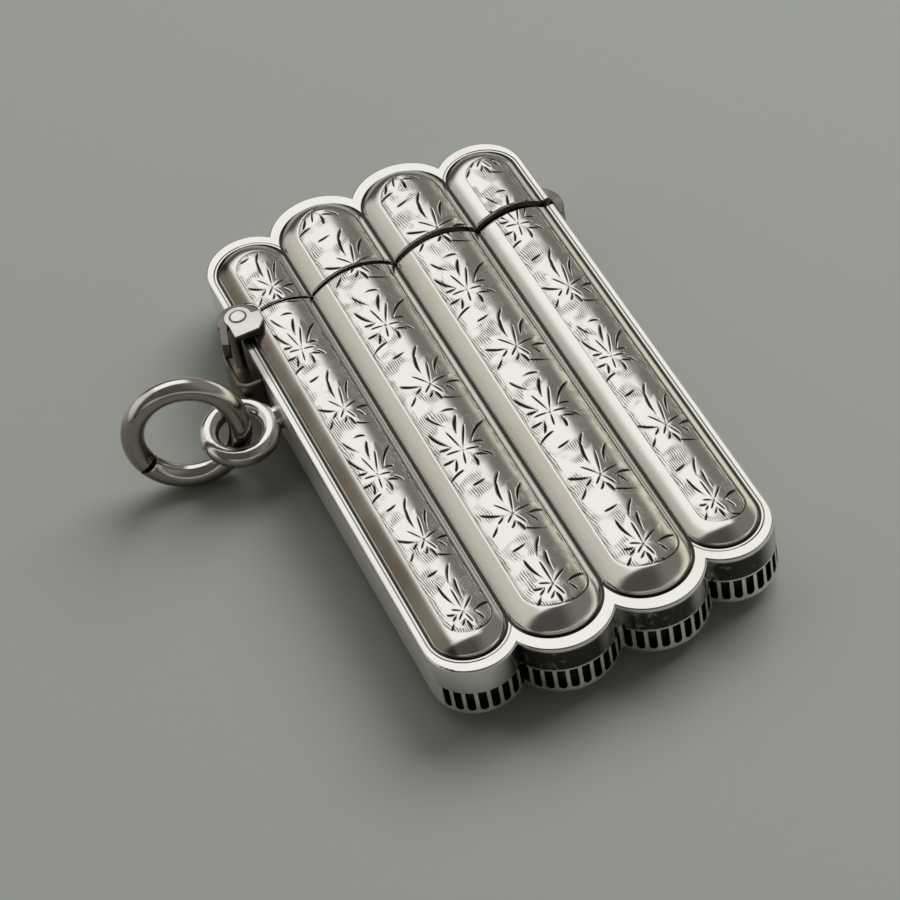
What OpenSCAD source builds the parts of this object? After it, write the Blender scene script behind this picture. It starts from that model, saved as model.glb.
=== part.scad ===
// Vesta case: a flat pocket box for matches, stamped as four parallel lobes on each face.
// The lid is hinged at one side, a ring hangs from an eye beside it, and the base has a striker.
// X runs across the lobes, Y from the base to the lid, Z out of the front face.
// The origin is under the middle of the back, on the plane that the case lies on.

/* [Case] */
// Width over the side walls
case_w = 25.2; // [24.6:0.1:28]
// Thickness of the slab between its front and back ledges
slab_t = 4.45; // [4.2:0.05:6]
// Distance from the middle to the centres of the inner scallops
end_y = 20.35; // [18.6:0.05:26]
// How much sooner the outer scallops end
outer_short = 0.6; // [0.3:0.05:1]
// Height of the lid seam above the middle
seam_y = 14.6; // [12.5:0.1:15.8]
// Thickness of the sheet
wall = 0.5; // [0.4:0.02:0.56]
// Rounding of the slab's outer edges
edge_r = 0.15; // [0.1:0.05:0.3]
// Gap between the body and the shut lid
seam_gap = 0.12; // [0.08:0.02:0.3]
// How far the lid stands open at rest, in degrees
lid_ajar = 0.2; // [0:0.1:0.5]
// Slope of the body's mouth down to the free side, in degrees
mouth_slope = 1.4; // [0:0.1:1.8]

/* [Lobes] */
// Width of each inner lobe at its foot, before the lobes are fitted to the case
inner_lobe_w = 6.4; // [5.8:0.02:6.6]
// Width of each outer lobe at its foot, before the lobes are fitted to the case
outer_lobe_w = 5.1; // [4.6:0.02:5.3]
// Height of the inner lobes above the ledge
inner_lobe_h = 1.22; // [1:0.02:1.5]
// Height of the outer lobes above the ledge
outer_lobe_h = 0.75; // [0.6:0.05:1]
// Width of the valley between two lobes, before they are fitted to the case
valley_w = 0.2; // [0.14:0.02:0.4]
// Width of the ledge round the lobes
rim_w = 0.8; // [0.7:0.02:1]
// How much sooner the lobes end than the scallops round them
lobe_short = 0.4; // [0.2:0.05:0.5]
// Width of the groove round the foot of a lobe
groove_w = 0.18; // [0.1:0.02:0.24]
// Depth of that groove
groove_d = 0.14; // [0.06:0.02:0.2]
// Depth of the flats rubbed on the crests of the back
rub_d = 0.04; // [0.02:0.01:0.1]

/* [Striker] */
// Depth of the striker strip, from the edge of the base inwards
striker_d = 1.1; // [0.9:0.05:1.6]
// Thickness of the back's rim under the striker
striker_rim = 0.3; // [0.24:0.02:0.4]
// Depth of the slots
slot_d = 0.5; // [0.3:0.05:0.7]
// Width of the slots
slot_w = 0.58; // [0.4:0.02:0.6]
// Distance from slot to slot
slot_pitch = 0.84; // [0.8:0.02:1]
// Slots in each inner lobe
inner_slots = 9; // [5:2:9]
// Slots in each outer lobe
outer_slots = 8; // [4:1:9]

/* [Collar] */
// How far the collar stands out of the mouth
collar_up = 0.8; // [0.5:0.05:0.9]
// How far the collar reaches down into the body
collar_down = 2.2; // [1.5:0.1:4]
// Thickness of the collar
collar_t = 0.22; // [0.16:0.02:0.26]
// Clearance between the collar and the lid
collar_fit = 0.1; // [0.08:0.01:0.14]

/* [Hinge] */
// Radius of the knuckle
knuckle_r = 1; // [0.9:0.05:1.2]
// Radius of the hinge pin
pin_r = 0.55; // [0.4:0.05:0.6]
// Distance of the pin's axis inside the side wall
pin_inset = 0.44; // [0.36:0.01:0.6]
// Running clearance of the knuckle on the pin
pin_fit = 0.03; // [0.02:0.01:0.08]
// Thickness of the cheek plates
cheek_t = 0.6; // [0.5:0.05:0.8]
// Height of a cheek above its ledge
cheek_lift = 0.3; // [0.26:0.02:0.5]
// How far a cheek's heel reaches along the body
heel_y = 1.85; // [1.3:0.05:2.4]
// How far a cheek's heel reaches onto the lobe
heel_x = 1.55; // [1.3:0.05:1.7]
// Width of the hood round a cheek's eye
hood_w = 0.6; // [0.3:0.05:0.65]
// How far the front cheek's tongue reaches out past the pin
tongue_out = 2; // [1.8:0.05:2.2]
// How far that tongue reaches down past the pin
tongue_l = 1.75; // [1.5:0.05:2]
// Width of that tongue
tongue_w = 0.5; // [0.4:0.05:0.6]
// Length of the strap on the side wall
strap_l = 4.5; // [3.5:0.1:4.6]
// How far the strap bows out of the side wall
strap_out = 1.85; // [1.7:0.05:1.9]
// Radius of the strap's bow
strap_bow = 21; // [15:1:30]
// Rounding of the strap's lower end
strap_end_r = 1; // [0.8:0.05:1.1]
// Thickness of the strap
strap_t = 0.4; // [0.3:0.05:0.5]
// Width of the strap across the side wall
strap_w = 2.8; // [1.6:0.1:2.8]
// Thickness of the leaf spring
spring_t = 0.3; // [0.2:0.02:0.4]
// Width of the leaf spring
spring_w = 2.4; // [1.6:0.1:2.8]
// Length of the leaf spring
spring_l = 9.5; // [6:0.1:12]

/* [Thumb piece] */
// Length of the thumb piece along the side
thumb_l = 3.8; // [3:0.1:4.2]
// How far the thumb piece hangs over the seam
thumb_over = 1.9; // [1:0.1:2.2]
// How far the thumb piece stands out
thumb_out = 0.85; // [0.6:0.05:1.2]
// Thickness of the thumb piece
thumb_t = 3.6; // [2:0.1:3.8]
// Clearance between the thumb piece and the body
thumb_fit = 0.15; // [0.1:0.01:0.2]

/* [Ring and eye] */
// Radius of the eye, at the middle of its wire
eye_r = 2.25; // [2.2:0.01:2.4]
// Radius of the eye's wire
eye_wire = 0.7; // [0.5:0.02:0.74]
// Distance of the eye's centre below the seam
eye_drop = 7.7; // [7.5:0.02:9]
// Distance of the eye's centre from the side wall
eye_out = 2.97; // [2.7:0.01:3]
// Turn of the eye about the case's width
eye_tilt = 6; // [3:0.5:9]
// Radius of the ring, at the middle of its wire
ring_r = 3.8; // [3.7:0.05:3.85]
// Radius of the ring's wire
ring_wire = 0.84; // [0.6:0.02:0.88]
// How far the ring stands up from lying flat, in degrees
ring_tilt = 81.5; // [80:0.5:83]
// Turn of the standing ring towards the base, in degrees
ring_turn = 15.5; // [13:0.5:18]
// Width of the split in the ring
ring_split = 0.4; // [0.2:0.05:0.8]

/* [Hidden] */
$fn = 64;

silver = [0.80, 0.79, 0.76];
dull_silver = [0.62, 0.60, 0.56];
dark_silver = [0.36, 0.34, 0.31];

// Half sizes of the slab and of the lobes
half_w = case_w / 2;
half_t = slab_t / 2;
// The lobes and valleys are spread or drawn in together to fill the width between the side ledges
spread = (case_w - 2 * rim_w) / (2 * inner_lobe_w + 2 * outer_lobe_w + 3 * valley_w);
inner_w = inner_lobe_w * spread;
outer_w = outer_lobe_w * spread;
valley = valley_w * spread;
inner_x = valley / 2 + inner_w / 2;
outer_x = inner_x + inner_w / 2 + valley + outer_w / 2;
lobe_x = [-outer_x, -inner_x, inner_x, outer_x];
lobe_w = [outer_w, inner_w, inner_w, outer_w];
lobe_h = [outer_lobe_h, inner_lobe_h, inner_lobe_h, outer_lobe_h];
outer_end = end_y - outer_short;
lobe_end = [outer_end - lobe_short, end_y - lobe_short, end_y - lobe_short, outer_end - lobe_short];
// How far a lobe's foot is sunk in the slab
lobe_root = 0.1;
// Radius of a circular arch of width w and height h
function arch_r(w, h) = (w * w / 4 + h * h) / (2 * h);

// Scallops at the ends: the outer ones turn the corners into the side walls
scallop_r = inner_w / 2 + rim_w;
corner_r = outer_w / 2 + rim_w;
corner_y = outer_end;

// The middle of the thickness, with the rubbed crests of the back at height 0
mid_z = inner_lobe_h - rub_d + half_t;
ledge = half_t;

// Hinge axis and the heights of its pieces
pin_x = pin_inset - half_w;
cheek_z = ledge + cheek_lift;
cheek_top = cheek_z + cheek_t;
hood_r = knuckle_r + hood_w;
hood_t = cheek_t / 2;
knuckle_play = 0.05;
knuckle_top = cheek_z - knuckle_play;
knuckle_room = 0.12;
strap_gap = 0.75;
spring_turn = 40;
solder = 0.02;
stub = 0.06;

// The second groove along the outer side of the outer lobes
line_in = 0.3;
line_w = 0.1;

// Places of the eye and of the ring that hangs in it
eye_x = -half_w - eye_out;
eye_y = seam_y - eye_drop;
pad_r = 0.94;
pad_t = 0.4;
ring_hang = [-3.57, 0.77, 1.27];
split_turn = 211;

// Where the collar starts beside the hinge, and the turn of the outer slots to the side walls
collar_start = -inner_x - 0.3 * inner_w;
outer_slot_turn = 8;

// Where the striker starts past the corners' centres, its foot, and the lip under its slots
striker_lead = 0.35;
striker_low = striker_rim - half_t;
slot_lip = 0.1;

far = 60;
tiny = 0.05;

// A rectangle with round corners, about the origin
module round_rect(x, y, r) {
    square([2 * x, 2 * (y - r)], center = true);
    square([2 * (x - r), 2 * y], center = true);
    for (sx = [-1, 1], sy = [-1, 1])
        translate([sx * (x - r), sy * (y - r)]) circle(r);
}

// A flat disc with a round rim
module round_disc(radius, t, r) {
    rotate_extrude() {
        translate([0, -t]) square([radius - r, 2 * t]);
        translate([0, r - t]) square([radius, 2 * (t - r)]);
        for (s = [-1, 1])
            translate([radius - r, s * (t - r)]) circle(r);
    }
}

// The straight part of the slab, drawn in all round by inset
module bar(inset) {
    translate([0, corner_y, 0]) rotate([90, 0, 0])
        linear_extrude(2 * corner_y)
            round_rect(half_w - inset, half_t - inset, max(edge_r - inset, tiny));
}

// The slab with its scalloped ends, drawn in all round by inset
module slab(inset) {
    r = max(edge_r - inset, tiny);
    t = half_t - inset;
    bar(inset);
    for (sx = [-1, 1], sy = [-1, 1]) {
        translate([sx * inner_x, sy * end_y, 0]) round_disc(scallop_r - inset, t, r);
        translate([sx * outer_x, sy * corner_y, 0]) round_disc(corner_r - inset, t, r);
    }
}

// One lobe, front (side 1) or back (side -1), drawn in by inset
module lobe(i, side, inset) {
    r = arch_r(lobe_w[i], lobe_h[i]);
    root = ledge - inset - lobe_root;
    intersection() {
        translate([lobe_x[i], 0, side * (ledge + lobe_h[i] - r)]) {
            rotate([90, 0, 0]) cylinder(r = r - inset, h = 2 * lobe_end[i], center = true);
            for (sy = [-1, 1])
                translate([0, sy * lobe_end[i], 0]) sphere(r - inset);
        }
        translate([-far, -far, side > 0 ? root : -far - root]) cube([2 * far, 2 * far, far]);
    }
}

// The outer form of the case, or its hollow when inset is more than the sheet
module form(inset) {
    slab(inset);
    for (i = [0 : 3], side = [-1, 1]) lobe(i, side, inset);
}

// The outline of a lobe's foot, widened by grow
module foot(i, grow) {
    w = lobe_w[i] / 2 + grow;
    translate([lobe_x[i], 0]) {
        square([2 * w, 2 * lobe_end[i]], center = true);
        for (sy = [-1, 1]) translate([0, sy * lobe_end[i]]) circle(w);
    }
}

// Grooves round the lobes of one face, and a second line beside the outer lobes
module grooves(side) {
    translate([0, 0, side > 0 ? ledge - groove_d : -ledge - groove_d])
        linear_extrude(2 * groove_d) {
            for (i = [0 : 3])
                difference() {
                    foot(i, groove_w);
                    foot(i, -tiny);
                }
            for (i = [0, 3])
                intersection() {
                    difference() {
                        foot(i, line_in + line_w);
                        foot(i, line_in);
                    }
                    translate([i == 0 ? -far - outer_x : outer_x, -far]) square([far, 2 * far]);
                }
        }
}

// Everything on one face, above the seam or below the sloping mouth
module half_space(side, lid) {
    at_pin() rotate([0, 0, lid ? 0 : -mouth_slope])
        translate([-far, lid ? seam_gap / 2 : -far - seam_gap / 2, side > 0 ? 0 : -far])
            cube([2 * far, far, far]);
}

// Sheet of one quarter of the case
module quarter(side, lid) {
    difference() {
        intersection() {
            form(0);
            half_space(side, lid);
        }
        form(wall);
        grooves(side);
        translate([-far, -far, -far - mid_z]) cube([2 * far, 2 * far, far]);
    }
}

module at_pin() {
    translate([pin_x, seam_y, 0]) children();
}

// The lid's pieces, turned open about the pin by the angle of the rest pose
module on_lid() {
    translate([0, 0, mid_z]) at_pin() rotate([0, 0, lid_ajar]) translate([-pin_x, -seam_y, 0]) children();
}

module on_body() {
    translate([0, 0, mid_z]) children();
}

// The outline of a cheek: a round eye over a heel that sits on the outer lobe
module cheek_outline(grow) {
    side_x = -0.9 * knuckle_r - grow;
    circle(knuckle_r + grow);
    polygon([[side_x, -heel_y - grow], [0.6 * heel_x, -heel_y - grow], [heel_x + grow, -0.6 * heel_y],
             [heel_x + grow, -0.1 * heel_y], [0.6 * knuckle_r, 0], [side_x, 0]]);
}

// The outline of the narrow tongue that reaches from the front cheek's hood to the strap
module tongue_outline() {
    polygon([[-0.58 * hood_r, 0.7 * hood_r], [-hood_r, -0.14 * tongue_l], [-tongue_out, -tongue_l],
             [tongue_w - tongue_out, -1.15 * tongue_l], [tongue_w - hood_r, -0.3 * tongue_l], [-0.5 * hood_r, 0]]);
}

// A cheek plate, with a lower hood over its eye
module cheek() {
    difference() {
        union() {
            linear_extrude(cheek_t) cheek_outline(0);
            linear_extrude(hood_t) intersection() {
                circle(hood_r);
                translate([-hood_r, 0]) square([2 * hood_r, hood_r]);
            }
        }
        translate([0, 0, -cheek_t]) cylinder(r = pin_r + solder / 2, h = 3 * cheek_t);
    }
}

// Room for the hinge in the body
module hinge_room() {
    at_pin() {
        cylinder(r = knuckle_r + knuckle_room, h = 2 * far, center = true);
        for (side = [-1, 1])
            translate([0, 0, side > 0 ? cheek_z - solder : -far - cheek_z + solder])
                linear_extrude(far) cheek_outline(solder);
    }
}

// One half of the body's sheet, with room left for the hinge
module body_half(side) {
    difference() {
        quarter(side, false);
        hinge_room();
    }
}

module body_front_shell() {
    color(silver) on_body() body_half(1);
}

module body_back_shell() {
    color(silver) on_body() difference() {
        body_half(-1);
        striker_space();
    }
}

// The outline of the base, drawn in by inset
module base_outline(inset) {
    for (sx = [-1, 1]) {
        translate([sx * inner_x, -end_y]) circle(scallop_r - inset);
        translate([sx * outer_x, -corner_y]) circle(corner_r - inset);
    }
    translate([-half_w + inset, -corner_y]) square([case_w - 2 * inset, 2 * corner_y]);
    translate([-outer_x, -corner_y - rim_w]) square([2 * outer_x, 2 * corner_y]);
}

// The strip along the edge of the base that the striker fills, from the back rim to the middle
module striker_space() {
    translate([0, 0, striker_low]) linear_extrude(-striker_low) difference() {
        translate([-far, -far - corner_y - striker_lead]) square([2 * far, far]);
        base_outline(striker_d);
    }
}

// A row of slots round a scallop, from the angle first on, counted from the outward direction
module slot_row(x, y, r, count, first) {
    for (k = [0 : count - 1])
        translate([x, y, striker_low + slot_lip + slot_w / 2])
            rotate([0, 0, first + k * slot_pitch / r * 180 / PI]) {
                translate([-slot_w / 2, -r - slot_d, 0]) cube([slot_w, 2 * slot_d, slab_t]);
                translate([0, slot_d - r, 0]) rotate([90, 0, 0]) cylinder(r = slot_w / 2, h = 2 * slot_d);
            }
}

module striker_plate() {
    color(dark_silver) on_body() difference() {
        intersection() {
            striker_space();
            translate([0, 0, striker_low]) linear_extrude(-striker_low) base_outline(0);
        }
        inner_turn = (inner_slots - 1) / 2 * slot_pitch / scallop_r * 180 / PI;
        outer_turn = (outer_slots - 1) / 2 * slot_pitch / corner_r * 180 / PI;
        for (sx = [-1, 1]) {
            slot_row(sx * inner_x, -end_y, scallop_r, inner_slots, -inner_turn);
            slot_row(sx * outer_x, -corner_y, corner_r, outer_slots, sx * outer_slot_turn - outer_turn);
        }
    }
}

// The lip inside the mouth, soldered to the body, free of the lid and left off on the hinge's side
module mouth_collar() {
    color(dull_silver) on_body() difference() {
        union() {
            intersection() {
                form(wall + solder);
                translate([-far, seam_y - collar_down, -far]) cube([2 * far, collar_down, 2 * far]);
            }
            intersection() {
                form(wall + collar_fit);
                translate([-far, seam_y - tiny, -far]) cube([2 * far, collar_up + tiny, 2 * far]);
            }
        }
        form(wall + collar_fit + collar_t);
        translate([-far, 0, -far]) cube([far + collar_start, far, 2 * far]);
    }
}

// The front cheek, whose tongue ends in a leg on the strap
module hinge_front_cheek() {
    leg = cheek_z - strap_w / 2 - solder;
    color(silver) on_body() at_pin() translate([0, 0, cheek_z]) {
        cheek();
        linear_extrude(hood_t) tongue_outline();
        translate([0, 0, -leg]) linear_extrude(leg + hood_t) intersection() {
            tongue_outline();
            translate([-far, -far - strap_gap]) square([far, far]);
        }
    }
}

module hinge_back_cheek() {
    color(silver) on_body() at_pin() mirror([0, 0, 1]) translate([0, 0, cheek_z]) cheek();
}

// The outline of the strap, drawn in by inset: a long bow with a round lower end
module strap_outline(inset) {
    end_x = strap_end_r - strap_out - half_w;
    end_up = strap_end_r - strap_l;
    intersection() {
        translate([strap_bow - strap_out - half_w, end_up]) circle(strap_bow - inset, $fn = 6 * $fn);
        union() {
            translate([end_x, end_up]) circle(strap_end_r - inset);
            translate([-far, end_up]) square([2 * far, far]);
            translate([end_x, inset - strap_l]) square([far, far]);
        }
    }
}

// A bowed strap on the side wall, between the hinge and the eye, open underneath
module hinge_strap() {
    color(dull_silver) on_body() translate([0, seam_y - strap_gap, -strap_w / 2])
        linear_extrude(strap_w) difference() {
            intersection() {
                strap_outline(0);
                translate([-far - half_w, -far]) square([far, far]);
            }
            strap_outline(strap_t);
        }
}

module hinge_pin() {
    color(silver) on_body() at_pin() cylinder(r = pin_r, h = 2 * (cheek_top + stub), center = true);
}

// A leaf along the inside of the side wall, whose tip bears on the knuckle
module lid_spring() {
    root_x = wall + solder - half_w;
    tip = knuckle_r + knuckle_room / 2;
    tip_x = pin_x + tip * sin(spring_turn);
    tip_y = seam_y - tip * cos(spring_turn);
    low_y = seam_y - knuckle_r - spring_l;
    bend_y = low_y + spring_l * 0.45;
    color(dull_silver) on_body() translate([0, 0, -spring_w / 2])
        linear_extrude(spring_w)
            polygon([[root_x, low_y], [root_x + spring_t, low_y], [root_x + spring_t, bend_y],
                     [tip_x + spring_t, tip_y], [tip_x, tip_y], [root_x, bend_y + spring_t]]);
}

// A loop of round wire, cut flat where it is soldered to the side wall
module suspension_eye() {
    color(dull_silver) on_body() {
        intersection() {
            translate([eye_x, eye_y, 0]) rotate([eye_tilt, 0, 0])
                rotate_extrude() translate([eye_r, 0]) circle(eye_wire);
            translate([-far - half_w, -far, -far]) cube([far, 2 * far, 2 * far]);
        }
        translate([-half_w, eye_y, 0]) rotate([0, -90, 0]) cylinder(r = pad_r, h = pad_t);
    }
}

// One half of the lid's sheet, with a seat for the knuckle and a round notch for the cheek
module lid_half(side) {
    difference() {
        quarter(side, true);
        at_pin() {
            cylinder(r = knuckle_r + solder, h = 2 * far, center = true);
            translate([0, 0, side > 0 ? knuckle_top : -far - knuckle_top])
                cylinder(r = hood_r + knuckle_room, h = far);
        }
    }
}

module lid_front_shell() {
    color(silver) on_lid() lid_half(1);
}

module lid_back_shell() {
    color(silver) on_lid() lid_half(-1);
}

// The lid's barrel on the pin
module lid_knuckle() {
    color(silver) on_lid() at_pin() difference() {
        cylinder(r = knuckle_r, h = 2 * knuckle_top, center = true);
        cylinder(r = pin_r + pin_fit, h = far, center = true);
    }
}

// A lens on the lid's free side, whose lower half hangs clear over the body
module thumb_piece() {
    r = arch_r(thumb_l, thumb_out + edge_r);
    color(silver) on_lid() difference() {
        translate([half_w + thumb_out - r, seam_y - thumb_over + thumb_l / 2, -thumb_t / 2])
            intersection() {
                cylinder(r = r, h = thumb_t);
                translate([r - thumb_out - edge_r, -far, -far]) cube(2 * far);
            }
        bar(0);
        intersection() {
            bar(-thumb_fit);
            translate([-far, seam_y + thumb_fit - 2 * far, -far]) cube(2 * far);
        }
    }
}

module jump_ring() {
    color(dull_silver) on_body()
        translate([eye_x, eye_y, 0] + ring_hang) rotate([ring_tilt, 0, -ring_turn])
            difference() {
                rotate_extrude() translate([ring_r, 0]) circle(ring_wire);
                rotate([0, 0, split_turn])
                    translate([0, -ring_split / 2, -2 * ring_wire]) cube([far, ring_split, 4 * ring_wire]);
            }
}

body_front_shell();
body_back_shell();
striker_plate();
mouth_collar();
hinge_front_cheek();
hinge_back_cheek();
hinge_strap();
hinge_pin();
lid_spring();
suspension_eye();
lid_front_shell();
lid_back_shell();
lid_knuckle();
thumb_piece();
jump_ring();
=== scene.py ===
import math

import bmesh
import bpy
import numpy as np
from mathutils import Matrix, Vector


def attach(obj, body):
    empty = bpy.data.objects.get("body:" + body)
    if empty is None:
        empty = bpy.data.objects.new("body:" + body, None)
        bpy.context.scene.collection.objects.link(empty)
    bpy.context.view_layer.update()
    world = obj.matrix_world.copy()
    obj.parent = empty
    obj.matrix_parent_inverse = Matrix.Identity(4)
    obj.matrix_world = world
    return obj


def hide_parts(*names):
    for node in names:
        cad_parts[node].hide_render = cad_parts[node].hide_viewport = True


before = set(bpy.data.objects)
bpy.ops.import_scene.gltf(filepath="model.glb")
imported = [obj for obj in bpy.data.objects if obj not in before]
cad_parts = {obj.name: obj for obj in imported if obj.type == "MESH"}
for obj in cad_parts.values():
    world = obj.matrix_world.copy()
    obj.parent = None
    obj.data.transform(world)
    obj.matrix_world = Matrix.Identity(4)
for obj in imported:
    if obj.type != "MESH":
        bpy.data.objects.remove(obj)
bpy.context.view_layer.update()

MM = 0.001

# Sizes of the case in millimetres, as its solids have them. A lobe's left and right are the edges of its
# engraved panel, which only the skins have
SEAM_Y = 14.6
MID_Z = 3.405
LEDGE = 2.225
PIN_X = -12.16
PIN_RADIUS = 0.55
AJAR = math.radians(0.2)
MOUTH_SLOPE = math.tan(math.radians(1.4))
INNER = {"half": 3.2, "high": 1.22, "end": 19.95, "left": -2.0, "right": 2.7}
OUTER = {"half": 2.55, "high": 0.75, "end": 19.35, "left": -1.4, "right": 2.05}
INNER_X, OUTER_X = 3.3, 9.25
SCALLOP, CORNER = 4.0, 3.35
SCALLOP_Y, CORNER_Y = 20.35, 19.75
LINE_AT = 0.35
SPLIT = (-22.36, 8.26, 2.74)
PIN_AT = (PIN_X, SEAM_Y, MID_Z)

# How the meshes are made
SAME_PLACE = 0.002 * MM
FLAT_ANGLE = math.radians(0.5)
SHARP_ANGLE = math.radians(28)
LEVEL = 0.9999
BUMP_DEPTH = 0.01 * MM

# How the camera stood over the case
CAMERA_AT = (-43.1, -149.55, 166.57)
CAMERA_RIGHT = (0.9061, -0.3994, -0.1394)
CAMERA_DOWN = (-0.3837, -0.6374, -0.6682)
CAMERA_AHEAD = (0.1781, 0.6590, -0.7308)
FOCAL_WIDTHS = 3.575


class Socket:
    """A shader socket that takes part in Python arithmetic."""

    def __init__(self, tree, socket):
        self.tree = tree
        self.socket = socket

    def node(self, kind, settings=None, out=0, **inputs):
        """Adds a node of any type, sets it up, then sets or links its sockets."""
        made = self.tree.nodes.new(kind)
        for key, value in (settings or {}).items():
            setattr(made, key, value)
        for key, value in inputs.items():
            name = int(key[1:]) if key[0] == "_" and key[1:].isdigit() else key.replace("_", " ")
            target = made.inputs[name]
            if isinstance(value, Socket):
                self.tree.links.new(value.socket, target)
            else:
                target.default_value = value
        return Socket(self.tree, made.outputs[out])

    def maths(self, operation, *others):
        values = {f"_{i}": v for i, v in enumerate((self,) + others)}
        return self.node("ShaderNodeMath", {"operation": operation}, **values)

    def __add__(self, other):
        return self.maths("ADD", other)

    __radd__ = __add__

    def __sub__(self, other):
        return self.maths("SUBTRACT", other)

    def __rsub__(self, other):
        return self.node("ShaderNodeMath", {"operation": "SUBTRACT"}, _0=other, _1=self)

    def __mul__(self, other):
        return self.maths("MULTIPLY", other)

    __rmul__ = __mul__

    def __pow__(self, other):
        return self.maths("POWER", other)

    def __abs__(self):
        return self.maths("ABSOLUTE")

    def least(self, other):
        return self.maths("MINIMUM", other)

    def most(self, other):
        return self.maths("MAXIMUM", other)

    def sine(self):
        return self.maths("SINE")

    def root(self):
        return self.maths("SQRT")

    def step(self, low, high):
        """Rises smoothly from 0 at low to 1 at high."""
        return self.node("ShaderNodeMapRange", {"interpolation_type": "SMOOTHSTEP"},
                         Value=self, From_Min=low, From_Max=high, To_Min=0.0, To_Max=1.0)

    def mix(self, first, second):
        """A colour between two, with this value as the share of the second."""
        return self.node("ShaderNodeMix", {"data_type": "RGBA"}, out=2, _0=self, _6=first, _7=second)


def new_material(name):
    """An empty node material, its first socket to reckon from and its shader."""
    material = bpy.data.materials.new(name)
    material.use_nodes = True
    tree = material.node_tree
    shader = tree.nodes["Principled BSDF"]
    place = tree.nodes.new("ShaderNodeTexCoord")
    return material, Socket(tree, place.outputs["Object"]), shader


def link(value, shader, name):
    value.tree.links.new(value.socket, shader.inputs[name])


def noise(where, scale, detail):
    return where.node("ShaderNodeTexNoise", Vector=where, Scale=scale, Detail=detail)


def tarnish(where, cloud_scale, speck_scale):
    """Broad clouds and fine specks."""
    return noise(where, cloud_scale, 4), noise(where, speck_scale, 3)


def split(where):
    made = where.tree.nodes.new("ShaderNodeSeparateXYZ")
    where.tree.links.new(where.socket, made.inputs[0])
    return [Socket(where.tree, out) for out in made.outputs]


def shut_place(where, on_lid=False):
    """Places in millimetres, with the lid turned shut about its pin."""
    if on_lid:
        pin = tuple(c * MM for c in PIN_AT)
        moved = where.node("ShaderNodeVectorMath", {"operation": "SUBTRACT"}, _0=where, _1=pin)
        turned = where.node("ShaderNodeVectorRotate", {"rotation_type": "Z_AXIS"}, Vector=moved, Angle=-AJAR)
        where = where.node("ShaderNodeVectorMath", {"operation": "ADD"}, _0=turned, _1=pin)
    return [v * (1 / MM) for v in split(where)]


def foot_distance(x, y, lobe_x, lobe):
    """How far a place lies outside the foot of a lobe and its mirror twin, in millimetres."""
    across = abs(x) - lobe_x
    along = (abs(y) - lobe["end"]).most(0.0)
    return (across * across + along * along).root() - lobe["half"]


def reach(x, y, at_x, at_y):
    """The distance from a line that stands on the plane of the case."""
    across = x - at_x
    along = y - at_y
    return (across * across + along * along).root()


def band(value, middle, half, soft):
    """1 near the middle, 0 beyond half plus soft."""
    return 1 - abs(value - middle).step(half, half + soft)


SILVER = (0.88, 0.86, 0.815, 1)
WARM_SILVER = (0.78, 0.73, 0.63, 1)
BROWN_TARNISH = (0.13, 0.1, 0.072, 1)
TARNISH = (0.075, 0.062, 0.05, 1)
SOOT = (0.022, 0.019, 0.017, 1)
WIRE_SHADE_BROWN = (0.33, 0.285, 0.25, 1)
DULL = (0.2, 0.19, 0.17, 1)

# Scales of the clouds and the specks, and of the fine scratches
SHEET_GRAIN = (260, 1900)
FITTING_GRAIN = (420, 2600)
WIRE_GRAIN = (500, 3000)
HAIRLINES = 9000
# From one line of the hatching to the next, in millimetres
HATCH_PITCH = 0.16


def finish_metal(where, shader, colour, rough, height, strength=0.35):
    """Joins a colour, a roughness and a height to a metal shader."""
    link(colour, shader, "Base Color")
    shader.inputs["Metallic"].default_value = 1.0
    link(rough, shader, "Roughness")
    bump = where.node("ShaderNodeBump", Strength=strength, Distance=BUMP_DEPTH, Height=height)
    link(bump, shader, "Normal")


def scratches(where, turn):
    """Fine hairlines in one direction."""
    drawn = where.node("ShaderNodeMapping", Vector=where, Rotation=(0, 0, turn), Scale=(1, 0.04, 1))
    return noise(drawn, HAIRLINES, 2)


def polished_sheet(name, on_lid=False):
    """Worn silver sheet: bright on the ledges, dark in the grooves, sooty on the wall over the striker."""
    material, where, shader = new_material(name)
    x, y, z = shut_place(where, on_lid)
    cloud, speck = tarnish(where, *SHEET_GRAIN)
    outer = foot_distance(x, y, OUTER_X, OUTER)
    foot = foot_distance(x, y, INNER_X, INNER).least(outer)
    flat = (abs(z - MID_Z) - LEDGE).step(-0.3, -0.12)
    groove = band(foot, 0.07, 0.08, 0.06) * flat
    line = band(outer, LINE_AT, 0.03, 0.04) * flat * 0.7
    wall = 1 - abs(z - MID_Z).step(1.85, 2.05)
    # Painted reflection: the soot is thinned on the right side of each inner lobe's wall and towards the
    # right end, so these parts show lighter as if catching light
    painted_right_sheen = x.step(10.0, 12.0)
    for lobe_x in (-INNER_X, INNER_X):
        painted_right_sheen = painted_right_sheen.most(band(x, lobe_x + 2.6, 0.5, 1.0))
    soot = (0 - y).step(20.4, 21.2) * wall * (z - MID_Z).step(0.07, 0.2) * x.step(-8.6, -6.8)
    rubbed_off = (cloud * speck).step(0.27, 0.4)
    soot = soot * (1 - painted_right_sheen * 0.65) * (1 - rubbed_off * 0.35) * 0.97
    # Darker round the hinge, most on the side wall, in cloudy patches
    hinge_darkening = (1 - reach(x, y, PIN_X, SEAM_Y - 3.0).step(2.0, 4.2)) * (0.3 + wall * 0.25 + cloud * 0.4)
    stain = cloud.step(0.48, 0.72) * 0.3
    colour = stain.mix(SILVER, WARM_SILVER)
    colour = hinge_darkening.mix(colour, wall.mix(BROWN_TARNISH, TARNISH))
    dark = groove.most(line)
    colour = dark.mix(colour, SOOT)
    colour = soot.mix(colour, SOOT)
    rubbed = abs(x).step(12.3, 12.5) * wall
    rough = 0.08 + cloud * 0.08 + speck * 0.04 + dark * 0.2 + soot * 0.16 + rubbed * 0.3
    finish_metal(where, shader, colour, rough, scratches(where, 0.5) * 0.4 + cloud * 1.4)
    return material


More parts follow.
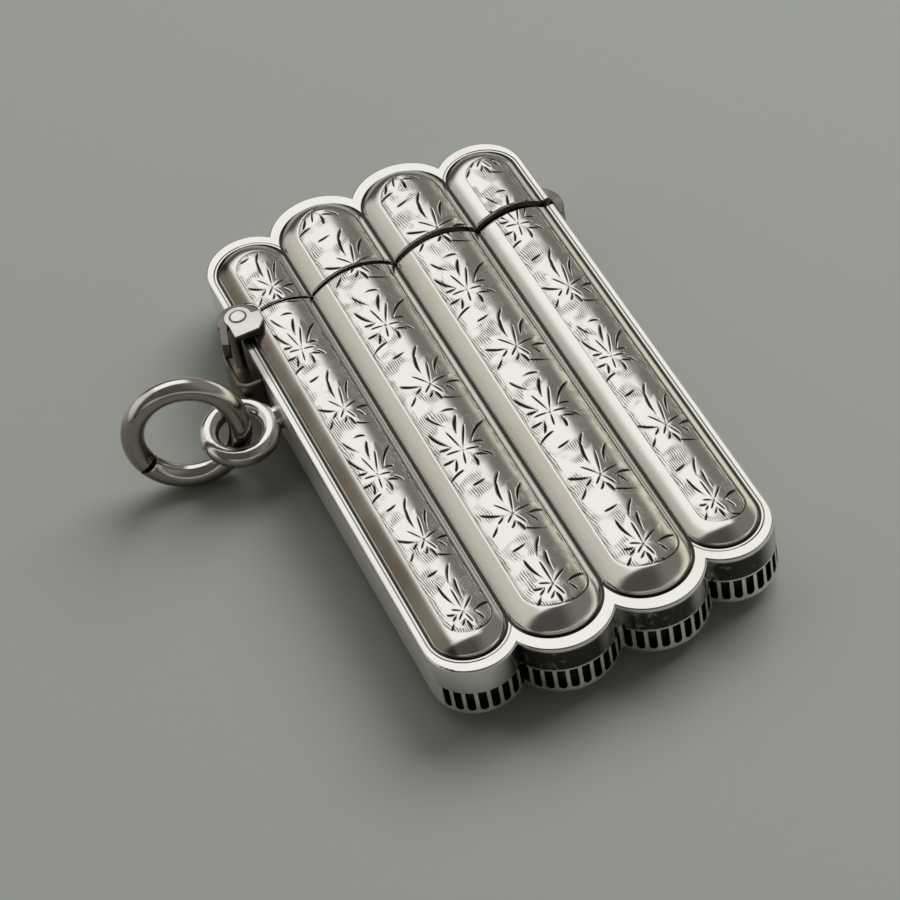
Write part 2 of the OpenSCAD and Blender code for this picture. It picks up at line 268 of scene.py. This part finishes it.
def engraved_sheet(name, on_lid=False):
    """The skin of the lobes: plain flanks and an engraved panel along each crest."""
    material, where, shader = new_material(name)
    x, y, _ = shut_place(where, on_lid)
    cloud, speck = tarnish(where, *SHEET_GRAIN)
    cut, hatch, panel, side = [where.node("ShaderNodeAttribute", {"attribute_name": key}, out=2)
                               for key in ("cut", "hatch", "panel", "left_flank_shade")]
    dark = cut.step(0.12, 0.5)
    wander = noise(where, 650, 2)
    rows = ((x * 0.995 + y * 0.1 + wander * 0.5) * (2 * math.pi / HATCH_PITCH)).sine()
    lines = (rows + (speck - 0.5) * 3.0).step(-0.2, 0.5) * hatch * noise(where, 900, 1).step(0.3, 0.55)
    foot = foot_distance(x, y, INNER_X, INNER).least(foot_distance(x, y, OUTER_X, OUTER))
    dirt = foot.step(-0.12, -0.04) * (0.6 + cloud * 0.5).least(1.0)
    # Painted reflection: the left flanks are tinted towards brown, and the left side of the first lobe dark
    # brown, standing in for the darker things they mirror
    brown = side * (0.75 + cloud * 0.4).least(1.0)
    stain = (cloud.step(0.5, 0.75) * 0.35) * (1 - panel * 0.6)
    colour = stain.mix(SILVER, WARM_SILVER)
    colour = (brown * 0.9).mix(colour, BROWN_TARNISH)
    colour = dirt.mix(colour, TARNISH)
    colour = (lines * 0.9).mix(colour, TARNISH)
    colour = dark.mix(colour, SOOT)
    rough = 0.09 + cloud * 0.07 + speck * 0.04 + panel * 0.03 + dark * 0.2
    height = scratches(where, 0.5) * 0.4 + cloud * 1.2 - lines * 3.0
    finish_metal(where, shader, colour, rough, height)
    return material


def worn_silver(name, warm, dark_share, rough, base=SILVER):
    """Silver of the fittings, with tarnish in patches."""
    material, where, shader = new_material(name)
    cloud, speck = tarnish(where, *FITTING_GRAIN)
    colour = (cloud.step(0.42, 0.7) * warm).mix(base, WARM_SILVER)
    colour = ((speck * cloud).step(0.3, 0.5) * dark_share).mix(colour, TARNISH)
    finish_metal(where, shader, colour, rough + cloud * 0.12 + speck * 0.08, speck * 1.2 + cloud * 2.0, 0.4)
    return material


def worn_wire(name):
    """Wire with a painted highlight on its upper side and painted brown shade below, and tarnish in specks.
    """
    material, where, shader = new_material(name)
    cloud, speck = tarnish(where, *WIRE_GRAIN)
    # Painted highlight and shade: silver where the wire faces up, brown where it faces sideways or down
    up = where.node("ShaderNodeAttribute", {"attribute_name": "up"}, out=2)
    bright = (up + (cloud - 0.5) * 0.5).step(0.25, 0.75)
    colour = bright.mix(WIRE_SHADE_BROWN, SILVER)
    x, y, z = shut_place(where)
    past = z - SPLIT[2]
    gap = (reach(x, y, SPLIT[0], SPLIT[1]) ** 2 + past * past).root()
    colour = ((speck * cloud).step(0.3, 0.5) * 0.4).mix(colour, TARNISH)
    colour = (1 - gap.step(0.7, 0.82)).mix(colour, SOOT)
    finish_metal(where, shader, colour, 0.07 + cloud * 0.08 + speck * 0.04, speck * 1.2 + cloud * 2.0, 0.4)
    return material


def hinge_plate(name):
    """A bright plate, dark round the pin's end and darker on its faces that lie low near the case."""
    material, where, shader = new_material(name)
    x, y, z = shut_place(where)
    cloud, speck = tarnish(where, *FITTING_GRAIN)
    ring = band(reach(x, y, PIN_X, SEAM_Y), PIN_RADIUS + 0.04, 0.04, 0.06)
    # Darker on the faces that lie low, near the case, in cloudy patches
    low = 1 - (abs(z - MID_Z) - LEDGE).step(0.66, 0.8)
    colour = (cloud.step(0.45, 0.75) * 0.5).mix(SILVER, WARM_SILVER)
    colour = (ring * 0.9).most(low * (0.6 + cloud * 0.4)).mix(colour, TARNISH)
    finish_metal(where, shader, colour, 0.24 + cloud * 0.14 + speck * 0.06, speck + cloud * 2.0, 0.4)
    return material


def dark_striker(name):
    """Silver that years of matches have blackened, bright only on the outer faces of the ribs."""
    material, where, shader = new_material(name)
    x, y, _ = shut_place(where)
    cloud = noise(where, 700, 4)
    inner = reach(abs(x), y, INNER_X, -SCALLOP_Y) - SCALLOP
    outer = reach(abs(x), y, OUTER_X, -CORNER_Y) - CORNER
    rib = inner.least(outer).step(-0.09, -0.03)
    colour = cloud.step(0.45, 0.7).mix(SOOT, TARNISH)
    colour = (rib * (0.5 + cloud)).least(1.0).mix(colour, SILVER)
    finish_metal(where, shader, colour, 0.3 + cloud * 0.25, cloud * 2.0, 0.5)
    return material


sheet_of_body = polished_sheet("silver_sheet_body")
sheet_of_lid = polished_sheet("silver_sheet_lid", on_lid=True)
engraving_of_body = engraved_sheet("engraved_silver_body")
engraving_of_lid = engraved_sheet("engraved_silver_lid", on_lid=True)
plate_silver = hinge_plate("silver_hinge_plates")
fitting_silver = worn_silver("silver_fittings", 0.4, 0.4, 0.16)
dull_silver = worn_silver("dull_silver", 0.4, 0.8, 0.25, DULL)
wire_silver = worn_wire("silver_wire")
dark_inside = worn_silver("tarnished_inside", 0.04, 0.6, 0.4, TARNISH)
# Partly brownish tarnish, partly painted shade: the strap and the knuckle take a dark brown that also stands
# for the shade beside the wall
dark_strap = worn_silver("tarnished_and_shaded_strap", 0.3, 0.8, 0.25, BROWN_TARNISH)
spring_steel = worn_silver("spring_steel", 0.1, 0.8, 0.3)
striker_silver = dark_striker("blackened_striker")


def add_piece(mesh, name, body, material):
    piece = bpy.data.objects.new(name, mesh)
    bpy.context.scene.collection.objects.link(piece)
    mesh.materials.clear()
    mesh.materials.append(material)
    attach(piece, body)
    return piece


def softened(node, body, material, edge):
    """A merged copy of a solid, its edges rounded a little where asked, which stands for the solid."""
    bm = bmesh.new()
    bm.from_mesh(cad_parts[node].data)
    bmesh.ops.remove_doubles(bm, verts=bm.verts, dist=SAME_PLACE)
    if edge:
        bmesh.ops.dissolve_limit(bm, angle_limit=FLAT_ANGLE, verts=bm.verts, edges=bm.edges)
    for face in bm.faces:
        face.smooth = True
    for line in bm.edges:
        level = {abs(face.normal.z) > LEVEL for face in line.link_faces}
        line.smooth = len(level) == 1 and line.calc_face_angle(0) < SHARP_ANGLE
    mesh = bpy.data.meshes.new(node + "_soft")
    bm.to_mesh(mesh)
    bm.free()
    # The normal's upward share, kept as the up attribute: the wire's material paints its highlight and shade
    # by it
    normals = np.empty(len(mesh.vertices) * 3)
    mesh.vertices.foreach_get("normal", normals)
    mesh.attributes.new("up", "FLOAT", "POINT").data.foreach_set("value", normals[2::3])
    piece = add_piece(mesh, node + "_soft", body, material)
    if edge:
        rounding = piece.modifiers.new("rounding", "BEVEL")
        rounding.width = edge * MM
        rounding.segments = 2
        rounding.limit_method = "ANGLE"
        rounding.angle_limit = SHARP_ANGLE
        rounding.use_clamp_overlap = True
        even = piece.modifiers.new("even", "WEIGHTED_NORMAL")
        even.keep_sharp = True
    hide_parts(node)


for shell in ("body_front_shell", "body_back_shell"):
    softened(shell, "case", sheet_of_body, 0)
for shell in ("lid_front_shell", "lid_back_shell"):
    softened(shell, "lid", sheet_of_lid, 0)
for plate in ("hinge_front_cheek", "hinge_back_cheek"):
    softened(plate, "case", plate_silver, 0.07)
softened("hinge_pin", "case", fitting_silver, 0.05)
softened("hinge_strap", "case", dark_strap, 0.08)
softened("mouth_collar", "case", dark_inside, 0)
softened("lid_knuckle", "lid", dark_strap, 0.06)
softened("thumb_piece", "lid", dull_silver, 0.1)
softened("lid_spring", "case", spring_steel, 0.04)
softened("striker_plate", "case", striker_silver, 0.03)
softened("suspension_eye", "case", wire_silver, 0.05)
softened("jump_ring", "ring", wire_silver, 0.08)

# Painted shade: a dark block that fills the strap's loop below, a thin block inside the strap's box
SHADE_IN, SHADE_UP, SHADE_THICK = 0.3 * MM, 0.1 * MM, 0.3 * MM
points = np.array([v.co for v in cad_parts["hinge_strap"].data.vertices])
low = points.min(0) + (SHADE_IN, SHADE_IN, SHADE_UP)
high = points.max(0)
high[2] = low[2] + SHADE_THICK
bm = bmesh.new()
bmesh.ops.create_cube(bm, size=1)
bmesh.ops.scale(bm, vec=high - low, verts=bm.verts)
bmesh.ops.translate(bm, vec=(low + high) / 2, verts=bm.verts)
mesh = bpy.data.meshes.new("strap_shade_block")
bm.to_mesh(mesh)
bm.free()
add_piece(mesh, "strap_shade_block", "case", dark_strap)

# Ivy leaves: how far off the crest a leaf's node lies, then the direction of each vein, in degrees from the
# lobe's line, and its length
FIRST_LEAF = (0.5, [(15, 2.3), (-35, 1.7), (70, 1.5), (155, 1.3), (-135, 1.0)])
SECOND_LEAF = (-0.1, [(25, 2.4), (-10, 2.2), (-75, 1.2), (100, 1.2), (-165, 1.3)])
END_LEAF = (0.2, [(50, 1.6), (0, 2.1), (-60, 1.0), (-130, 0.9), (165, 1.2)])
# Where the cuts between two veins start and end, as shares of the veins' lengths and of their angle
NOTCH, PAST_TIP, OFF_VEIN = 0.7, 1.4, 0.28
WIDE_GAP = 60
# Tendrils beside a leaf: where each starts and ends, along the lobe and across it
TENDRILS = [(4.2, 1.1, 2.6, 0.3), (3.8, -1.0, 4.0, 0.1), (-1.6, 0.7, -2.0, 2.1), (-1.2, -1.6, -0.5, -0.9)]
VEIN_WIDE, CUT_WIDE, TENDRIL_WIDE = 0.16, 0.25, 0.19
CUT_SHARE = 0.22
CUT_BOW = 0.06


def ivy_leaf(node, veins, hand):
    """A leaf's graver strokes as ends, width and bow: its veins, the cuts between them and the tendrils."""
    def at(angle, long):
        return long * math.cos(math.radians(angle)), node + long * math.sin(math.radians(angle))

    strokes = [(*at(angle, long), 0, node, VEIN_WIDE, 0) for angle, long in veins]
    order = sorted(veins)
    for (before, long_before), (after, long_after) in zip(order, order[1:] + order[:1]):
        gap = (after - before) % 360
        notch = at(before + gap / 2, NOTCH * min(long_before, long_after))
        sides = [(long_before, before + OFF_VEIN * gap), (long_after, before + (1 - OFF_VEIN) * gap)]
        for long, angle in sides if gap > WIDE_GAP else [max(sides)]:
            outer = at(angle, PAST_TIP * long)
            wide = min(CUT_WIDE, CUT_SHARE * math.dist(outer, notch))
            strokes.append((*outer, *notch, wide, CUT_BOW))
    for along0, across0, along1, across1 in TENDRILS:
        strokes.append((along0, hand * across0, along1, hand * across1, TENDRIL_WIDE, CUT_BOW))
    return strokes


LEAVES = [ivy_leaf(*FIRST_LEAF, 1), ivy_leaf(*SECOND_LEAF, -1), ivy_leaf(*END_LEAF, 1)]
# The first strokes of a leaf are its veins, each in a plain petal. The petal's length goes by the vein's,
# its half breadth by that length, and the rise of its roof by how far inside its edge a place lies
VEINS = 5
PETAL_LONG, PETAL_BROAD = 1.4, 0.3
ROOF = 0.07
# How many leaves a lobe has, how they differ in turn, size and place across, and how far one reaches
LEAF_COUNT = 7
LEAF_TURN = 0.06
LEAF_SIZE = (0.95, 1.03)
LEAF_ASIDE = 0.1
LEAF_REACH = 5
SEED = 7
# For each lobe: its place, its kind, and the first leaf's node and the step to the next
LOBES = [
    (-OUTER_X, OUTER, -18.6, 6.95),
    (-INNER_X, INNER, -19.85, 6.9),
    (INNER_X, INNER, -19.8, 6.93),
    (OUTER_X, OUTER, -18.45, 7.75),
]
# Mesh size of the skins, front and back
FRONT_CELL, BACK_CELL = 0.058, 0.085
# Depth of the cuts, fullness of the lobes' ends, how the skins lie over the solids and end in them, and the
# room they leave round the hinge
CUT_DEEP = 0.06
FULLNESS = 4
LIFT = 0.07
SINK = 0.32
SEAM_SINK = 0.2
SEAM_OFF = 0.06
KNUCKLE_ROOM, CHEEK_ROOM = 1.75, 1.25
# The panel ends sooner than the lobe by this much. The leaves end inside its edge, on a cut line
PANEL_SHORT = 0.6
LEAVES_INSIDE = 0.05
BORDER_AT, BORDER_HALF = 0.06, 0.07


def arch(across, past, lobe):
    """Height of a lobe's surface over the middle of the thickness: a round arch, fuller towards the ends."""
    half, high = lobe["half"], lobe["high"]
    radius = (half ** 2 + high ** 2) / (2 * high)
    out = np.minimum(np.hypot(across, past), half)
    share = (past / np.maximum(out, 0.01)) ** 2
    arched = high - radius + np.sqrt(radius ** 2 - out ** 2)
    full = high * (1 - (out / half) ** FULLNESS)
    return LEDGE + arched + (full - arched) * np.minimum(share, 1)


def stroke(along, across, line):
    """How far inside one graver cut a place lies, 1 on its line and 0 at its edge: a tapered spindle."""
    a0, b0, a1, b1, wide, bend = line
    da, db = a1 - a0, b1 - b0
    t = np.clip(((along - a0) * da + (across - b0) * db) / (da * da + db * db), 0, 1)
    bow = bend * np.sin(np.pi * t)
    off = np.hypot(along - a0 - t * da + bow * db, across - b0 - t * db - bow * da)
    half = 0.6 * wide * (0.3 + 0.7 * np.sin(np.pi * t ** 0.7))
    return np.clip(1 - off / half, -1, 1) * np.clip(half / wide * 2, 0.6, 1)


def smooth(value, low, high):
    """Rises smoothly from 0 at low to 1 at high."""
    t = np.clip((value - low) / (high - low), 0, 1)
    return t * t * (3 - 2 * t)


def skin_grid(name, lobe_x, lobe, cell, low, high, on_lid):
    """A flat grid over the foot of a lobe, open round the hinge and ending at the mouth."""
    half = lobe["half"]
    slope = 0 if on_lid else MOUTH_SLOPE
    clear = KNUCKLE_ROOM if on_lid else CHEEK_ROOM
    columns = round(2 * half / cell)
    rows = round((high - low) / cell)
    bm = bmesh.new()
    bmesh.ops.create_grid(bm, x_segments=columns, y_segments=rows, size=0.5)
    bmesh.ops.scale(bm, vec=(2 * half, high - low, 1), verts=bm.verts)
    bmesh.ops.translate(bm, vec=(lobe_x, (low + high) / 2, 0), verts=bm.verts)
    spare = []
    for v in bm.verts:
        past = max(abs(v.co.y) - lobe["end"], 0)
        at_end = math.hypot(v.co.x - lobe_x, past) > half + cell
        above = v.co.y > high - slope * (v.co.x - PIN_X)
        at_hinge = math.hypot(v.co.x - PIN_X, v.co.y - SEAM_Y) < clear
        if at_end or above or at_hinge:
            spare.append(v)
    bmesh.ops.delete(bm, geom=spare, context="VERTS")
    mesh = bpy.data.meshes.new(name)
    bm.to_mesh(mesh)
    bm.free()
    return mesh


def petal_rise(along, across, vein):
    """How far inside the petal of a vein a place lies, in millimetres."""
    tip_a, tip_b, root_a, root_b = vein[:4]
    da = PETAL_LONG * (tip_a - root_a)
    db = PETAL_LONG * (tip_b - root_b)
    long = math.hypot(da, db)
    t = ((along - root_a) * da + (across - root_b) * db) / long ** 2
    off = np.abs((along - root_a) * db - (across - root_b) * da) / long
    return PETAL_BROAD * long * np.sin(np.pi * np.clip(t, 0, 1) ** 0.8) - off


def engrave(y, across, index, low, high, rng):
    """How deep each place is cut by the leaves' strokes, and how far it lies inside a petal."""
    lobe, first, step = LOBES[index][1:]
    squeeze = lobe["half"] / INNER["half"]
    cut = np.full(len(y), -1.0)
    petals = np.full(len(y), 0.0)
    for count in range(LEAF_COUNT):
        place = first + step * count
        turn = rng.uniform(-LEAF_TURN, LEAF_TURN)
        size = rng.uniform(*LEAF_SIZE)
        aside = rng.uniform(-LEAF_ASIDE, LEAF_ASIDE)
        leaf = LEAVES[2] if count == 0 else LEAVES[1 - count % 2]
        if not low - LEAF_REACH < place < high + LEAF_REACH:
            continue
        along = (y - place) / size
        over = (across / squeeze - aside) / size
        near = np.abs(along) < LEAF_REACH + 0.5
        a = along[near] * math.cos(turn) + over[near] * math.sin(turn)
        b = over[near] * math.cos(turn) - along[near] * math.sin(turn)
        for line in leaf:
            cut[near] = np.maximum(cut[near], stroke(a, b, line))
        for vein in leaf[:VEINS]:
            petals[near] = np.maximum(petals[near], petal_rise(a, b, vein))
    return cut, petals


def lobe_skin(name, body, material, index, side, low, high, on_lid, rng):
    """The engraved outer skin of one lobe of the body or of the lid."""
    lobe_x, lobe = LOBES[index][:2]
    half = lobe["half"]
    slope = 0 if on_lid else MOUTH_SLOPE
    cell = FRONT_CELL if side > 0 else BACK_CELL
    mesh = skin_grid(name, lobe_x, lobe, cell, low, high, on_lid)
    points = np.empty(len(mesh.vertices) * 3)
    mesh.vertices.foreach_get("co", points)
    points = points.reshape(-1, 3)
    across = points[:, 0] - lobe_x
    y = points[:, 1].copy()
    past = np.maximum(np.abs(y) - lobe["end"], 0)
    foot = np.hypot(across, past) - half
    middle = (lobe["left"] + lobe["right"]) / 2
    wide = (lobe["right"] - lobe["left"]) / 2
    tip = np.maximum(np.abs(y) - lobe["end"] + PANEL_SHORT, 0)
    edge = wide - np.hypot(across - middle, tip)

    # What is cut, hatched and tarnished
    cut, petals = engrave(y, across, index, low, high, rng)
    plain = np.clip(petals / 0.1, 0, 1)
    cut = np.where(edge > LEAVES_INSIDE, cut, -1)
    border = 1 - np.abs(edge - BORDER_AT) / BORDER_HALF
    cut = np.maximum(cut, border * np.where(across < middle, 0.4, 0.7))
    patch = np.sin(y * 1.9 + across * 0.8 + index) + np.sin(y * 0.83 - across * 1.7 + 2 * index)
    hatch = (1 - plain) * smooth(patch, -0.3, 0.6) * np.where(across < middle, 0.9, 0.6)
    hatch = smooth(edge, 0.02, 0.1) * np.maximum(hatch, 0.9 * (1 - smooth(edge, 0.3, 0.45)))
    panel = smooth(edge, 0.0, 0.15)
    # Painted reflection as colour: a band at the left foot of each lobe, and the whole left side of the
    # first lobe, are marked for a darker brown tint
    left_flank_shade = smooth(-across, half - 0.9, half) * 0.35
    if index == 0:
        left_flank_shade = np.maximum(left_flank_shade, smooth(-across, 1.3, 1.7))

    # The height, which dips into the solid at the foot and the seam, and stays off the table
    at_seam = np.abs(y - SEAM_Y + slope * (points[:, 0] - PIN_X))
    height = arch(across, past, lobe) + LIFT
    height = height - SINK * smooth(foot, -0.1, -0.03) - SEAM_SINK * (1 - smooth(at_seam, 0.07, 0.13))
    height = height + ROOF * np.where(edge > LEAVES_INSIDE, petals, 0)
    if side < 0:
        height = np.minimum(height, MID_Z)
    points[:, 2] = MID_Z + side * (height - CUT_DEEP * np.clip(cut, 0, 1))
    if on_lid:
        dx = points[:, 0] - PIN_X
        dy = points[:, 1] - SEAM_Y
        points[:, 0] = PIN_X + dx * math.cos(AJAR) - dy * math.sin(AJAR)
        points[:, 1] = SEAM_Y + dx * math.sin(AJAR) + dy * math.cos(AJAR)
    mesh.vertices.foreach_set("co", (points * MM).ravel())
    for key, values in (("cut", cut), ("hatch", hatch), ("panel", panel), ("left_flank_shade", left_flank_shade)):
        layer = mesh.attributes.new(key, "FLOAT", "POINT")
        layer.data.foreach_set("value", values)
    if side < 0:
        mesh.flip_normals()
    mesh.shade_smooth()
    mesh.update()
    add_piece(mesh, name, body, material)


rng = np.random.default_rng(SEED)
for side, face in ((1, "front"), (-1, "back")):
    for index in range(len(LOBES)):
        lobe = LOBES[index][1]
        end = lobe["end"] + lobe["half"]
        lobe_skin(f"engraving_{face}_{index + 1}", "case", engraving_of_body, index, side,
                  -end, SEAM_Y - SEAM_OFF, False, rng)
        lobe_skin(f"lid_engraving_{face}_{index + 1}", "lid", engraving_of_lid, index, side,
                  SEAM_Y + SEAM_OFF, end, True, rng)

# The table
TABLE_HALF = 1.5
PAPER_DARK, PAPER_PALE = (0.335, 0.355, 0.325, 1), (0.35, 0.37, 0.34, 1)
bm = bmesh.new()
bmesh.ops.create_grid(bm, x_segments=1, y_segments=1, size=TABLE_HALF)
mesh = bpy.data.meshes.new("table")
bm.to_mesh(mesh)
bm.free()
table = bpy.data.objects.new("table", mesh)
bpy.context.scene.collection.objects.link(table)
paper, where, shader = new_material("grey_paper")
fleck = noise(where, 900, 3)
link((fleck * 0.5).mix(PAPER_DARK, PAPER_PALE), shader, "Base Color")
shader.inputs["Roughness"].default_value = 0.85
mesh.materials.append(paper)

# A soft bright window above and behind, pale walls left and right, a low grey band in front, and a dim room
WINDOW_TONE = (0.97, 0.97, 0.96, 1)
LEFT_TONE = (0.58, 0.56, 0.505, 1)
RIGHT_TONE = (0.74, 0.71, 0.6, 1)
FRONT_TONE = (0.42, 0.41, 0.38, 1)
ROOM_DARK, ROOM_PALE = (0.07, 0.066, 0.06, 1), (0.17, 0.165, 0.15, 1)
LAMP_AT = (0.36, 0.22, 0.42)
LAMP_WIDE, LAMP_HIGH, LAMP_WATTS = 0.5, 0.4, 3.3
scene = bpy.context.scene
world = bpy.data.worlds.new("soft_room")
scene.world = world
world.use_nodes = True
tree = world.node_tree
coords = tree.nodes.new("ShaderNodeTexCoord")
sky = Socket(tree, coords.outputs["Generated"])
sx, sy, sz = split(sky)
window = (1 - sx.step(0.3, 0.5)) * sz.step(0.36, 0.6) * sy.step(0.2, 0.34)
left_wall = (0 - sx).step(0.34, 0.46) * sz.step(-0.05, 0.15) * (sy + 0.6 - sz * 0.8).step(0.05, 0.4)
right_wall = sx.step(0.62, 0.74) * (1 - sz.step(0.24, 0.42)) * sz.step(-0.1, 0.05)
room = sx.step(-0.1, 0.6).mix(ROOM_DARK, ROOM_PALE)
low_fill = (0 - sy).step(0.45, 0.7) * sz.step(0.08, 0.16) * (1 - sz.step(0.34, 0.46))
tone = low_fill.mix(room, FRONT_TONE)
tone = window.mix(tone, WINDOW_TONE)
tone = left_wall.mix(tone, LEFT_TONE)
tone = right_wall.mix(tone, RIGHT_TONE)
tree.links.new(tone.socket, tree.nodes["Background"].inputs["Color"])
tree.nodes["Background"].inputs["Strength"].default_value = 1.0

lamp = bpy.data.lights.new("window", "AREA")
lamp.shape = "RECTANGLE"
lamp.size = LAMP_WIDE
lamp.size_y = LAMP_HIGH
lamp.energy = LAMP_WATTS
light = bpy.data.objects.new("window", lamp)
scene.collection.objects.link(light)
light.location = LAMP_AT
light.rotation_euler = (-light.location).to_track_quat("-Z", "Y").to_euler()
light.visible_glossy = False

# The camera
SENSOR = 36.0
NEAREST = 5 * MM
lens = bpy.data.cameras.new("camera")
lens.sensor_fit = "HORIZONTAL"
lens.sensor_width = SENSOR
lens.lens = FOCAL_WIDTHS * SENSOR
lens.clip_start = NEAREST
camera = bpy.data.objects.new("camera", lens)
scene.collection.objects.link(camera)
right, up, back = Vector(CAMERA_RIGHT), -Vector(CAMERA_DOWN), -Vector(CAMERA_AHEAD)
pose = Matrix((right, up, back)).transposed().to_4x4()
pose.translation = Vector(CAMERA_AT) * MM
camera.matrix_world = pose
scene.camera = camera

scene.view_settings.view_transform = "Standard"
